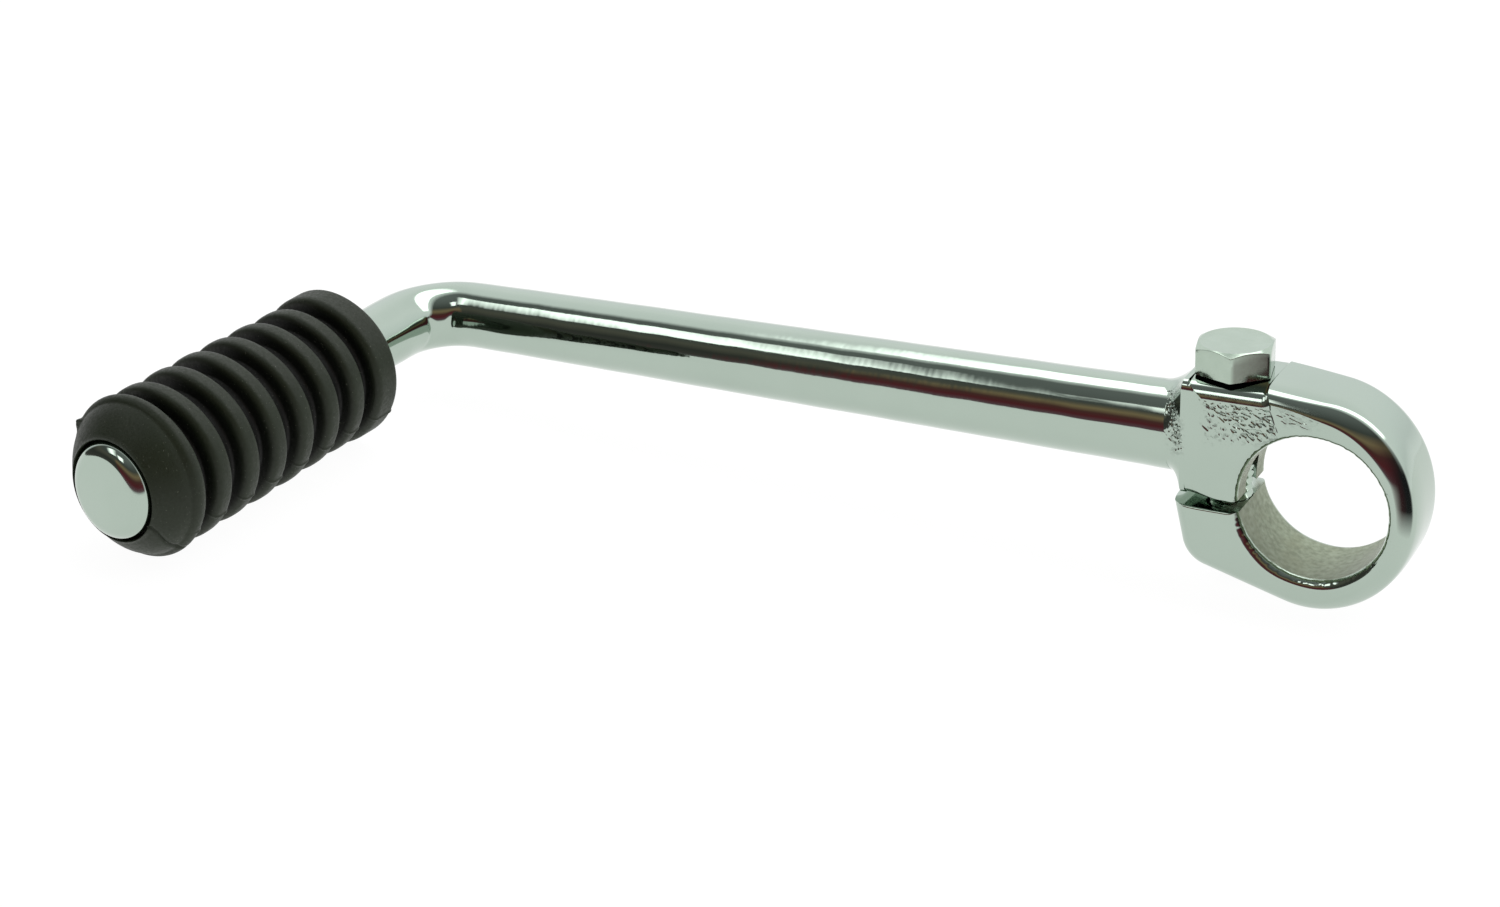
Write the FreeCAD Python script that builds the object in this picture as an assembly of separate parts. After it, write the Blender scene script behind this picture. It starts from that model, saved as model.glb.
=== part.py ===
"""Gear shift lever for a motorcycle: a split eye that clamps on the selector shaft, a bent chromed
arm welded to it, a ribbed rubber grip that turns on the arm's peg, and a hex pinch bolt.

Row frame, millimetres: the origin is the middle of the shaft bore, +Y runs along the bore towards
the engine, the arm runs along -X, the peg points along -Y to the rider's foot, and the pinch bolt
stands along +Z with its head up.
"""
import FreeCAD, Part
import math
import os

V = FreeCAD.Vector
X_AXIS, Y_AXIS, Z_AXIS = V(1, 0, 0), V(0, 1, 0), V(0, 0, 1)
SAME = 1e-6

# Shaft eye: an upright oval around the bore, with the bolt's two ears on its left
BORE_R = 10.25
BORE_CHAMFER = 0.5
EYE_HALF_LENGTH = 13.8
EYE_HALF_HEIGHT = 15.4
EYE_WIDTH = 13.0
EYE_EDGE_ROUND = 2.0
JAW_SLOPE_DEG = 16.0
JAW_LEAN_DEG = 12.0
JAW_CORNER_R = 5.0
JAW_END_X = -19.9
BLOCK_END_X = -17.5
SHOULDER_X = -6.9
SHOULDER_Z = 16.2
SPOT_FACE_Z = 15.95
SLIT_TOP_Z = -0.6
SLIT_BOTTOM_Z = -2.2

# Pinch bolt, M6 x 25, with its thread's crests cut to the low end of their tolerance
BOLT_X = -12.95
BOLT_CREST_R = 2.9
BOLT_ROOT_R = 2.4
BOLT_LENGTH = 25.0
THREAD_PITCH = 1.0
THREAD_PLAIN_PITCHES = 2
THREAD_STEPS = ((BOLT_ROOT_R, 0.45), (BOLT_ROOT_R, 0.55), (BOLT_CREST_R, 0.94), (BOLT_CREST_R, 1.0))
WASHER_FACE_R = 4.5
WASHER_FACE_HEIGHT = 0.5
HEAD_FLATS = 10.0
HEAD_HEIGHT = 4.2
HEAD_TOP_R = 4.8
HEAD_TURN_DEG = 11.8
CLEARANCE_HOLE_R = 3.5
TAPPED_HOLE_R = 2.95

# Arm
ARM_Z = 6.6
ARM_R_AT_EYE = 6.2
ARM_R_AT_BEND = 5.1
PEG_X = -145.1
BEND_R = 9.0
PEG_R = 5.0
PEG_BLEND = 4.0
PEG_END = 74.3
SPIGOT_R = 3.0
SPIGOT_LENGTH = 1.5
WELD_PREP_LENGTH = 3.0
WELD_PREP_R = 4.0

# Weld collar between the arm and the eye
WELD_TOE_X = -24.0
WELD_TOE_ROUND = 4.0
WELD_TOE_STEP = 0.1
WELD_TOE_TURN_DEG = 45.0
WELD_RISE = 6.5

# End disc, pressed on slightly askew
DISC_R = 7.0
DISC_THICKNESS = 2.7
DISC_EDGE_ROUND = 1.5
DISC_YAW_DEG = -7.0
DISC_PITCH_DEG = -5.0
DISC_SUNK = 1.0

# Rubber grip: distances along the peg from the arm's axis
GRIP_START = 24.7
GRIP_BORE_R = 5.05
FAR_COLLAR_R = 11.6
FAR_COLLAR_WIDTH = 5.1
RIB_COUNT = 6
RIB_FIRST = 34.03
RIB_PITCH = 6.17
RIB_WIDTH = 3.3
RIB_R_FAR = 11.3
RIB_R_NEAR = 11.55
GROOVE_R = 8.9
NEAR_COLLAR_R = 11.8
NEAR_COLLAR_START = 68.9
NEAR_COLLAR_END = 71.2
GRIP_FACE_R = 7.4
GRIP_END = 75.6
RIB_ROUND = 1.1
GROOVE_ROUND = 0.5
DISC_GAP = 1.4


def face_of(edges):
    """The flat face inside one closed run of edges."""
    return Part.Face(Part.Wire(Part.__sortEdges__(edges)))


def polar(radius, angle_deg):
    """A point of the XZ plane at this radius and angle about the bore axis."""
    angle = math.radians(angle_deg)
    return V(radius * math.cos(angle), 0, radius * math.sin(angle))


def arc_between(centre, radius, start_deg, end_deg):
    """An arc in the XZ plane about centre, through its middle angle."""
    points = [centre + polar(radius, a) for a in (start_deg, (start_deg + end_deg) / 2, end_deg)]
    return Part.Arc(*points).toShape()


def eye_point(turn):
    """The oval's point at this turn in radians from its top, clockwise."""
    return V(EYE_HALF_LENGTH * math.sin(turn), 0, EYE_HALF_HEIGHT * math.cos(turn))


def top_tangent_turn(shoulder):
    """The turn at which a line from the shoulder touches the oval's top."""
    across, up = shoulder.x / EYE_HALF_LENGTH, shoulder.z / EYE_HALF_HEIGHT
    return math.atan2(across, up) + math.acos(1 / math.hypot(across, up))


def corner_centre(normal_a, point_a, normal_b, point_b, radius):
    """The centre of the circle that touches two lines of the XZ plane from inside."""
    reach_a = normal_a.dot(point_a) - radius
    reach_b = normal_b.dot(point_b) - radius
    spread = normal_a.x * normal_b.z - normal_a.z * normal_b.x
    x = (reach_a * normal_b.z - reach_b * normal_a.z) / spread
    z = (normal_a.x * reach_b - normal_b.x * reach_a) / spread
    return V(x, 0, z)


def eye_outline():
    """The eye's side view: an oval round the bore, with an upper block and a lower jaw."""
    shoulder = V(SHOULDER_X, 0, SHOULDER_Z)
    top_turn = top_tangent_turn(shoulder)
    slope = math.tan(math.radians(JAW_SLOPE_DEG))
    low_turn = math.pi + math.atan(slope * EYE_HALF_LENGTH / EYE_HALF_HEIGHT)
    oval = Part.Ellipse(eye_point(0), eye_point(math.pi / 2), V())
    low_tangent = eye_point(low_turn)
    # The jaw's end leans in towards its foot; its top corner lies inside the slit.
    split_z = (SLIT_TOP_Z + SLIT_BOTTOM_Z) / 2
    jaw_top = V(JAW_END_X, 0, split_z)
    under_deg, end_deg = -90 - JAW_SLOPE_DEG, -180 + JAW_LEAN_DEG
    corner = corner_centre(polar(1, under_deg), low_tangent, polar(1, end_deg), jaw_top, JAW_CORNER_R)
    corner_start = corner + polar(JAW_CORNER_R, under_deg)
    corner_end = corner + polar(JAW_CORNER_R, end_deg)
    block_low = V(BLOCK_END_X, 0, split_z)
    block_high = V(BLOCK_END_X, 0, SHOULDER_Z)
    return [
        Part.makeLine(block_high, shoulder),
        Part.makeLine(shoulder, eye_point(top_turn)),
        oval.toShape(top_turn, low_turn),
        Part.makeLine(low_tangent, corner_start),
        arc_between(corner, JAW_CORNER_R, under_deg, end_deg),
        Part.makeLine(corner_end, jaw_top),
        Part.makeLine(jaw_top, block_low),
        Part.makeLine(block_low, block_high),
    ]


def block_prism(length, end_x):
    """The upper block's section, with its edges rounded, running back from end_x along -X."""
    height = SHOULDER_Z - SLIT_TOP_Z
    box = Part.makeBox(length, EYE_WIDTH, height, V(end_x - length, -EYE_WIDTH / 2, SLIT_TOP_Z))
    long_edges = [e for e in box.Edges if abs(e.tangentAt(e.FirstParameter).x) > 1 - SAME]
    return box.makeFillet(EYE_EDGE_ROUND, long_edges)


def clamp_head():
    """The split eye, forged in one piece."""
    solid = face_of(eye_outline()).extrude(V(0, EYE_WIDTH, 0))
    solid.translate(V(0, -EYE_WIDTH / 2, 0))
    rim = [e for e in solid.Edges if abs(abs(e.CenterOfMass.y) - EYE_WIDTH / 2) < SAME]
    split_z = (SLIT_TOP_Z + SLIT_BOTTOM_Z) / 2
    # The edges on the weld face and along the split stay sharp.
    rounded = [
        e for e in rim
        if abs(e.CenterOfMass.x - BLOCK_END_X) > SAME and abs(e.CenterOfMass.z - split_z) > SAME
    ]
    solid = solid.makeFillet(EYE_EDGE_ROUND, rounded)
    far = 2 * EYE_WIDTH
    bore = Part.makeCylinder(BORE_R, far, V(0, -far / 2, 0), Y_AXIS)
    for side in (-1, 1):
        mouth = Part.makeCone(
            BORE_R, BORE_R + 2 * BORE_CHAMFER, 2 * BORE_CHAMFER,
            V(0, side * (EYE_WIDTH / 2 - BORE_CHAMFER), 0), Y_AXIS * side,
        )
        bore = bore.fuse(mouth)
    slit_height = SLIT_TOP_Z - SLIT_BOTTOM_Z
    slit = Part.makeBox(far, far, slit_height, V(-BORE_R / 2 - far, -far / 2, SLIT_BOTTOM_Z))
    spot_face = Part.makeBox(far, far, far, V(SHOULDER_X - far, -far / 2, SPOT_FACE_Z))
    upper_hole = Part.makeCylinder(CLEARANCE_HOLE_R, far, V(BOLT_X, 0, SLIT_BOTTOM_Z / 2))
    tapped_hole = Part.makeCylinder(TAPPED_HOLE_R, far, V(BOLT_X, 0, -far))
    for cutter in (bore, slit, spot_face, upper_hole, tapped_hole):
        solid = solid.cut(cutter)
    return solid


def arm_section_radius(x):
    """The tapered arm's radius at x, between the eye and the bend."""
    bend_start = PEG_X + BEND_R
    share = (BLOCK_END_X - x) / (BLOCK_END_X - bend_start)
    return ARM_R_AT_EYE + share * (ARM_R_AT_BEND - ARM_R_AT_EYE)


def arm_rod():
    """The bent rod: bevelled for the weld, tapering to the bend, then the peg and its spigot."""
    bend_start = PEG_X + BEND_R
    prep_x = BLOCK_END_X - WELD_PREP_LENGTH
    centre = V(0, 0, ARM_Z)
    prep_r = arm_section_radius(prep_x)
    pieces = [
        Part.makeCone(WELD_PREP_R, prep_r, WELD_PREP_LENGTH, centre + V(BLOCK_END_X, 0, 0), -X_AXIS),
        Part.makeCone(prep_r, ARM_R_AT_BEND, prep_x - bend_start, centre + V(prep_x, 0, 0), -X_AXIS),
    ]
    section = Part.Face(Part.Wire(Part.makeCircle(ARM_R_AT_BEND, V(bend_start, 0, ARM_Z), X_AXIS)))
    pieces.append(section.revolve(V(bend_start, -BEND_R, ARM_Z), Z_AXIS, 90))
    peg = V(PEG_X, 0, ARM_Z)
    blend = PEG_BLEND
    runs = [
        (BEND_R, ARM_R_AT_BEND, PEG_R, blend),
        (BEND_R + blend, PEG_R, PEG_R, PEG_END - BEND_R - blend),
        (PEG_END, SPIGOT_R, SPIGOT_R, SPIGOT_LENGTH),
    ]
    for start, first_r, last_r, length in runs:
        base = peg - Y_AXIS * start
        if first_r == last_r:
            pieces.append(Part.makeCylinder(first_r, length, base, -Y_AXIS))
        else:
            pieces.append(Part.makeCone(first_r, last_r, length, base, -Y_AXIS))
    return pieces[0].multiFuse(pieces[1:]).removeSplitter()


def weld_collar():
    """Weld metal that fills the bevel and is dressed to a concave flare up to the block."""
    toe_r = arm_section_radius(WELD_TOE_X) + WELD_TOE_STEP
    turn = math.radians(WELD_TOE_TURN_DEG)
    arc_centre_r = toe_r + WELD_TOE_ROUND

    def on_arc(angle):
        return V(
            WELD_TOE_X + WELD_TOE_ROUND * math.sin(angle), 0,
            ARM_Z + arc_centre_r - WELD_TOE_ROUND * math.cos(angle),
        )

    toe = on_arc(0)
    arc_end = on_arc(turn)
    crest = V(BLOCK_END_X, 0, arc_end.z + WELD_RISE)
    outline = [
        Part.Arc(toe, on_arc(turn / 2), arc_end).toShape(),
        Part.makeLine(arc_end, crest),
        Part.makeLine(crest, V(BLOCK_END_X, 0, ARM_Z)),
        Part.makeLine(V(BLOCK_END_X, 0, ARM_Z), V(WELD_TOE_X, 0, ARM_Z)),
        Part.makeLine(V(WELD_TOE_X, 0, ARM_Z), toe),
    ]
    flare = face_of(outline).revolve(V(0, 0, ARM_Z), X_AXIS, 360)
    length = BLOCK_END_X - WELD_TOE_X
    collar = flare.common(block_prism(length, BLOCK_END_X))
    above_corner = V(BLOCK_END_X - 2 * length, -EYE_WIDTH, SPOT_FACE_Z)
    above = Part.makeBox(2 * length, 2 * EYE_WIDTH, length, above_corner)
    return collar.cut(above).cut(arm_rod())


def peg_end_disc():
    """The disc pressed on the peg's spigot, a little askew, which keeps the grip on."""
    base = V(PEG_X, -PEG_END, ARM_Z)
    disc = Part.makeCylinder(DISC_R, DISC_THICKNESS + DISC_SUNK, base + Y_AXIS * DISC_SUNK, -Y_AXIS)
    front_y = base.y - DISC_THICKNESS
    front_rim = [e for e in disc.Edges if e.BoundBox.YMax < front_y + SAME * 1000]
    disc = disc.makeFillet(DISC_EDGE_ROUND, front_rim)
    disc.rotate(base, Z_AXIS, DISC_YAW_DEG)
    disc.rotate(base, X_AXIS, DISC_PITCH_DEG)
    behind = Part.makeBox(4 * DISC_R, 2 * DISC_SUNK, 4 * DISC_R, V(-2 * DISC_R, 0, -2 * DISC_R))
    behind.rotate(V(), Z_AXIS, DISC_YAW_DEG)
    behind.rotate(V(), X_AXIS, DISC_PITCH_DEG)
    behind.translate(base)
    return disc.cut(behind).cut(arm_rod())


def grip_profile():
    """The grip's half section, as corners of (distance along the peg, radius)."""
    floor = PEG_END - DISC_GAP
    points = [(GRIP_START, GRIP_BORE_R), (GRIP_START, FAR_COLLAR_R)]
    collar_end = GRIP_START + FAR_COLLAR_WIDTH
    points += [(collar_end, FAR_COLLAR_R), (collar_end, GROOVE_R)]
    for i in range(RIB_COUNT):
        middle = RIB_FIRST + i * RIB_PITCH
        radius = RIB_R_FAR + (RIB_R_NEAR - RIB_R_FAR) * i / (RIB_COUNT - 1)
        low, high = middle - RIB_WIDTH / 2, middle + RIB_WIDTH / 2
        points += [(low, GROOVE_R), (low, radius), (high, radius), (high, GROOVE_R)]
    points += [(NEAR_COLLAR_START, GROOVE_R), (NEAR_COLLAR_START, NEAR_COLLAR_R)]
    points += [(NEAR_COLLAR_END, NEAR_COLLAR_R), (GRIP_END, GRIP_FACE_R)]
    points += [(floor, GRIP_FACE_R), (floor, GRIP_BORE_R)]
    return points


def grip_rubber():
    """The ribbed grip: a collar at each end and thin ribs between, with a recess for the disc."""
    corners = [V(PEG_X, -s, ARM_Z + r) for s, r in grip_profile()]
    half_section = Part.Face(Part.makePolygon(corners + corners[:1]))
    solid = half_section.revolve(V(PEG_X, 0, ARM_Z), Y_AXIS, 360)
    if solid.Volume < 0:
        solid.reverse()

    def circles(low_r, high_r):
        rings = [e for e in solid.Edges if isinstance(e.Curve, Part.Circle)]
        return [e for e in rings if low_r < e.Curve.Radius < high_r]

    crests = circles(RIB_R_FAR - SAME, NEAR_COLLAR_R + SAME)
    solid = solid.makeFillet(RIB_ROUND, crests)
    return solid.makeFillet(GROOVE_ROUND, circles(GROOVE_R - SAME, GROOVE_R + SAME))


def bolt_head(seat):
    """The hexagon, its top corners turned to 30 degrees, on a round washer face."""
    hex_low = seat + V(0, 0, WASHER_FACE_HEIGHT)
    corner_r = HEAD_FLATS / 2 / math.cos(math.radians(30))
    corners = []
    for i in range(6):
        angle = math.radians(HEAD_TURN_DEG - 90 + 60 * i)
        corners.append(hex_low + V(corner_r * math.cos(angle), corner_r * math.sin(angle), 0))
    hexagon_height = HEAD_HEIGHT - WASHER_FACE_HEIGHT
    hexagon = Part.Face(Part.makePolygon(corners + corners[:1])).extrude(V(0, 0, hexagon_height))
    foot_r = HEAD_TOP_R + hexagon_height / math.tan(math.radians(30))
    turned = Part.makeCone(foot_r, HEAD_TOP_R, hexagon_height, hex_low)
    washer_face = Part.makeCylinder(WASHER_FACE_R, WASHER_FACE_HEIGHT, seat)
    return hexagon.common(turned).fuse(washer_face)


def bolt_shank(seat):
    """The threaded shank, its thread cut as plain rings one pitch apart."""
    ring_count = int(BOLT_LENGTH / THREAD_PITCH) - THREAD_PLAIN_PITCHES
    points = [(0, 0), (BOLT_CREST_R, 0), (BOLT_CREST_R, -THREAD_PITCH)]
    for i in range(ring_count):
        crest = -THREAD_PITCH * (i + 1)
        for radius, share in THREAD_STEPS:
            points.append((radius, crest - share * THREAD_PITCH))
    points += [(BOLT_ROOT_R, -BOLT_LENGTH), (0, -BOLT_LENGTH)]
    outline = [seat + V(r, 0, z) for r, z in points]
    return Part.Face(Part.makePolygon(outline + outline[:1])).revolve(seat, Z_AXIS, 360)


def pinch_bolt():
    """The hex bolt that draws the two ears together."""
    seat = V(BOLT_X, 0, SPOT_FACE_Z)
    return bolt_head(seat).fuse(bolt_shank(seat))


PARTS = {
    "clamp_head": clamp_head,
    "arm_rod": arm_rod,
    "weld_collar": weld_collar,
    "peg_end_disc": peg_end_disc,
    "grip_rubber": grip_rubber,
    "pinch_bolt": pinch_bolt,
}

os.makedirs("parts", exist_ok=True)
for name, make in PARTS.items():
    shape = make()
    shape.exportStep(os.path.join("parts", name + ".step"))
    print(name, len(shape.Solids), "solid", round(shape.Volume, 1), "mm3", "valid", shape.isValid())
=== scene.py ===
"""A chromed gear shift lever with a ribbed rubber grip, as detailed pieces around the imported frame.

Lengths named below are millimetres where a heading says nothing else. Meshes are made in millimetres and
scaled to metres at the end. Turns round the bend are radians, and names that end in DEG are degrees.
The frame's own boxes give the sizes that the pieces share with the CAD model.
"""
import math

import bmesh
import bpy
import numpy as np
from mathutils import Matrix, Vector, noise

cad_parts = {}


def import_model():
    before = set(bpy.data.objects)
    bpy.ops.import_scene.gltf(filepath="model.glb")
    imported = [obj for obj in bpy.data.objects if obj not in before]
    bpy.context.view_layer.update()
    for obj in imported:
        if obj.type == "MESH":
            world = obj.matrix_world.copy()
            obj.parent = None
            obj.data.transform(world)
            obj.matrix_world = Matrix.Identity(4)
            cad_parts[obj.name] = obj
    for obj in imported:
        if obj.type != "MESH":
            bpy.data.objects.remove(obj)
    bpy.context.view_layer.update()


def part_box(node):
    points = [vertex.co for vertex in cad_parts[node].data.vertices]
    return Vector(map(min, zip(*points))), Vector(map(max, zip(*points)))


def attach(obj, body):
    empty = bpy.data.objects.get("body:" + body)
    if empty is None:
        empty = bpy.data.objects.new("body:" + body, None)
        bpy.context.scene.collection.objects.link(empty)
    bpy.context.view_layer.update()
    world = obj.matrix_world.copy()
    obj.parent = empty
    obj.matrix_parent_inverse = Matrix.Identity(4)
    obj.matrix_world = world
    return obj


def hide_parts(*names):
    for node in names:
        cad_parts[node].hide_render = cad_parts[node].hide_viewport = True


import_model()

MM = 0.001

# Arm
ARM_Z = 6.6
ARM_R_AT_EYE = 6.2
ARM_R_AT_BEND = 5.1
PEG_X = -145.1
BEND_R = 9.0
BEND_EASE = 6.0
PEG_R = 5.0
PEG_BLEND = 4.0
PEG_END = 74.3
SPIGOT_R = 3.0
SPIGOT_LENGTH = 1.5
WELD_PREP_R = 4.0
WELD_PREP_LENGTH = 3.0
POLISH_LOSS = 0.042
HIDDEN_IN_WELD = 5.0
HIDDEN_IN_GRIP = 50.0
SCUFF_DEPTH = 0.007
SCUFFED_STRETCHES = ((50, 26), (100, 18))  # distance along the rod, half length
CRESCENTS = ((0.24, 1.15, 0.12), (0.18, 0.42, -0.12))  # depth, turn round the bend, curve
CRESCENT_WIDTH = 0.15
CRESCENT_MIDDLE = 0.12
CRESCENT_REACH = 0.46

# Weld
WELD_TOE = 0.6
WELD_TOE_UNDER = 0.8
WELD_TOE_SIDE = 2.0
WELD_HOLLOW = 2.0
WELD_LAND = 0.7
WELD_TOE_SINK = 0.03
SPATTER_SIZE = 0.42
SPATTER_DEPTH = 0.16

# Eye
BORE_R = 10.25
EDGE_ROUND = 1.5
RIGHT_EDGE_ROUND = 2.7
FRONT_CROWN = 1.1
BACK_CROWN = 0.2
CROWN_DEPTH = 2.2
BORE_ROUND = 1.4
LIP_BURR = 0.10
SLIT_ROUND = 0.35
SLIT_ROUND_EXTRA = 1.6
SHOULDER_X = -6.9
SHOULDER_FOOT = 0.3
SLIT_BOTTOM_Z = -2.2
JAW_SLOPE_DEG = 16.0
JAW_LEAN_DEG = 12.0
JAW_CORNER_R = 5.0
CLEARANCE_HOLE_R = 3.5
TAPPED_HOLE_R = 2.95
FACE_RECESS = 0.22
STEP_X = -6.5
STEP_LEAN = 0.33
PIT_DEPTH = 0.15
PIT_SIZE = 0.45
WIDE_STEP = 0.3  # spacing of the outline's points, and three closer ones for its corners
SLIT_STEP = 0.07
SHOULDER_STEP = 0.11
TOP_STEP = 0.14
FAR = 99.0  # farther from an edge than any rounding reaches

# Bolt
BOLT_X = -12.95
BOLT_LENGTH = 25.0
CREST_R = 2.9
ROOT_R = 2.4
PITCH = 1.0
WASHER_R = 4.5
WASHER_HEIGHT = 0.12
HEAD_FLATS = 10.0
HEAD_TOP_R = 4.8
HEAD_TURN_DEG = 11.8
HEAD_BEVEL_DEG = 30.0
HEAD_TIGHTNESS = 70.0

# Grip, with distances along the peg from the arm's axis
GRIP_START = 24.7
GRIP_BORE_R = 5.05
FAR_COLLAR_R = 11.6
FAR_COLLAR_WIDTH = 5.1
COLLAR_EDGE_ROUND = 1.1
RIB_COUNT = 6
RIB_FIRST = 34.03
RIB_PITCH = 6.17
RIB_WIDTH = 3.3
RIB_FULLNESS = 3.4
RIB_R_FAR = 11.3
RIB_R_NEAR = 11.55
GROOVE_R = 8.9
NEAR_COLLAR_R = 11.8
NEAR_COLLAR_START = 68.9
GRIP_FACE_R = 7.3
GRIP_END = 75.6
DISC_GAP = 1.4
END_BULGE = 0.55
MOULD_SHRINK = 0.07
OUT_OF_ROUND = 0.05
BARREL_LEAN = 1.4
PARTING_DEG = 147.0
PARTING_CROWD = 0.44  # how much closer the points lie at the parting line
RIDGE_HEIGHT = 0.16
RIDGE_WIDTH = 0.22
CREASE_DEPTH = 0.42
CREASE_WIDTH = 0.24
CREASE_TWIST = 0.30
NIB_HEIGHT = 0.80
NIB_WIDTH = 0.5

# Disc on the peg's end
DISC_R = 7.0
DISC_THICKNESS = 2.7
DISC_ROUND = 2.4
DISC_CROWN = 0.25
DISC_YAW_DEG = -7.0
DISC_PITCH_DEG = -5.0

# Colours
WHITE = (1, 1, 1, 1)
CHROME_DIM = (0.385, 0.465, 0.40, 1)
CHROME_BRIGHT = (0.435, 0.515, 0.45, 1)
PIT_DIRT = (0.12, 0.14, 0.12, 1)
BARE_DARK = (0.22, 0.26, 0.175, 1)
BARE_LIGHT = (0.35, 0.405, 0.295, 1)
BARE_STAIN = (0.22, 0.24, 0.14, 1)
ZINC_DIM = (0.37, 0.455, 0.375, 1)
ZINC_BRIGHT = (0.445, 0.535, 0.455, 1)
# Painted shade: near black in the gap under the bolt's head
GAP_SHADE = (0.012, 0.012, 0.012, 1)
RUBBER_DIM = (0.0105, 0.016, 0.007, 1)
RUBBER_BRIGHT = (0.0185, 0.0275, 0.013, 1)
# Painted shade: near black in the grip's grooves
GROOVE_SHADE = (0.002, 0.003, 0.0015, 1)
DUST = (0.20, 0.22, 0.17, 1)
FLAG_RED = (0.11, 0.022, 0.030, 1)
FLAG_BLACK = (0.018, 0.018, 0.020, 1)
FLOOR_COLOUR = (0.09, 0.09, 0.09, 1)

# Studio, in metres
FLOOR_SIDE = 3.0
FLOOR_TILT_DEG = 4.0
FLOOR_GLOW = 0.96
LAMP_HEIGHT = 0.70
LAMPS = {
    # name: (lowest x, highest x, lowest y, highest y, share of x that fades at each end, radiance)
    "back_lamp": (-0.47, 0.90, 0.115, 0.50, 0.08, 2.9),
    "front_lamp": (-0.75, -0.36, -0.56, -0.176, 0.45, 2.6),
    "corner_lamp": (-0.36, -0.10, -0.64, -0.40, 0.25, 2.6),
}
FLAG_X = 0.032
FLAG_FRONT_Y = -0.048
FLAG_TOP_Z = 0.04

# The room round the object as (height, colour), from 0 straight below through 0.5 level to 1 straight above
ROOM_BACK = (
    (0.0, (1.0, 1.0, 1.0)), (0.49, (1.15, 1.14, 1.16)), (0.56, (0.95, 0.96, 0.98)),
    (0.66, (1.08, 1.09, 1.11)), (0.78, (1.16, 1.15, 1.17)), (1.0, (1.02, 1.03, 1.04)),
)
ROOM_RED = (
    (0.0, (1.0, 1.0, 1.0)), (0.48, (0.80, 0.82, 0.82)), (0.515, (0.16, 0.09, 0.11)),
    (0.60, (0.14, 0.024, 0.032)), (0.68, (0.11, 0.042, 0.038)), (0.76, (0.30, 0.21, 0.12)),
    (0.84, (0.08, 0.085, 0.08)), (1.0, (0.22, 0.23, 0.23)),
)
ROOM_DARK = (
    (0.0, (1.0, 1.0, 1.0)), (0.46, (0.80, 0.82, 0.82)), (0.50, (0.25, 0.25, 0.25)),
    (0.55, (0.07, 0.065, 0.06)), (0.66, (0.05, 0.05, 0.045)), (0.76, (0.12, 0.11, 0.09)),
    (0.84, (0.09, 0.095, 0.09)), (1.0, (0.22, 0.23, 0.23)),
)

# Camera, in metres
CAMERA_PLACE = (0.0923, -0.3149, 0.15066)
CAMERA_AZIMUTH_DEG = 29.85
CAMERA_ELEVATION_DEG = 23.75
CAMERA_ROLL_DEG = -3.02
CAMERA_LENS = 63.13


# ---------------------------------------------------------------- small mathematics

def smooth(value, low, high):
    """0 below low, 1 above high, and a smooth rise between."""
    share = np.clip((value - low) / (high - low), 0, 1)
    return share * share * (3 - 2 * share)


def bump(value, middle, width):
    """A bell of height 1 around middle."""
    return np.exp(-((value - middle) / width) ** 2)


def grain(points, size, seed, depth=3):
    """Smooth noise about 0 at each point, with details of this size."""
    shift = Vector((seed * 7.3, seed * 3.1, seed * 5.7))
    return np.array([noise.fractal(Vector(p) / size + shift, 1.0, 2.0, depth) for p in points])


def steps(corners, spacing):
    """Points along straight runs through the corners, about this far apart."""
    points = [np.array(corners[0], float)]
    for end in corners[1:]:
        start, end = points[-1], np.array(end, float)
        count = max(1, round(np.linalg.norm(end - start) / spacing))
        points += [start + (end - start) * (i + 1) / count for i in range(count)]
    return np.array(points)


# ---------------------------------------------------------------- mesh helpers

def grid_faces(rows, columns, close_rows=False):
    """Quads of a grid whose columns run round and close."""
    row = np.arange(rows if close_rows else rows - 1)
    column = np.arange(columns)
    r, c = np.meshgrid(row, column, indexing="ij")
    r_next, c_next = (r + 1) % rows, (c + 1) % columns
    quads = [r * columns + c, r * columns + c_next, r_next * columns + c_next, r_next * columns + c]
    return np.stack(quads, -1).reshape(-1, 4).tolist()


def ring_piece(name, rings, sharp_deg=35, close_rows=False):
    """A closed solid from rings of points; the first and last rings are capped unless they join."""
    rings = np.asarray(rings)
    rows, columns = rings.shape[:2]
    faces = grid_faces(rows, columns, close_rows)
    if not close_rows:
        first, last = list(range(columns)), list(range((rows - 1) * columns, rows * columns))
        faces += [first, last[::-1]]
    mesh = bpy.data.meshes.new(name)
    mesh.from_pydata((rings.reshape(-1, 3) * MM).tolist(), [], faces)
    work = bmesh.new()
    work.from_mesh(mesh)
    bmesh.ops.remove_doubles(work, verts=work.verts, dist=1e-7)
    bmesh.ops.recalc_face_normals(work, faces=work.faces)
    work.to_mesh(mesh)
    work.free()
    piece = bpy.data.objects.new(name, mesh)
    bpy.context.scene.collection.objects.link(piece)
    shade(piece, sharp_deg)
    return piece


def shade(piece, sharp_deg):
    """Smooth shading, except across edges sharper than this angle."""
    mesh = piece.data
    mesh.polygons.foreach_set("use_smooth", np.ones(len(mesh.polygons), bool))
    mesh.set_sharp_from_angle(angle=math.radians(sharp_deg))


def lathe(profile, angle):
    """Rings of points about the Y axis at these angles, from (distance along -Y, radius) pairs."""
    distance, radius = np.asarray(profile).T
    x = np.outer(radius, np.cos(angle))
    z = np.outer(radius, np.sin(angle))
    y = -np.repeat(distance[:, None], len(angle), 1)
    return np.stack([x, y, z], -1)


def coordinates(piece):
    """The piece's points in millimetres."""
    mesh = piece.data
    values = np.empty(len(mesh.vertices) * 3)
    mesh.vertices.foreach_get("co", values)
    return values.reshape(-1, 3) / MM


def paint(piece, name, values):
    """Stores one number a point for the materials."""
    layer = piece.data.attributes.new(name, "FLOAT", "POINT")
    layer.data.foreach_set("value", np.asarray(values, np.float32))


# ---------------------------------------------------------------- arm

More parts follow.
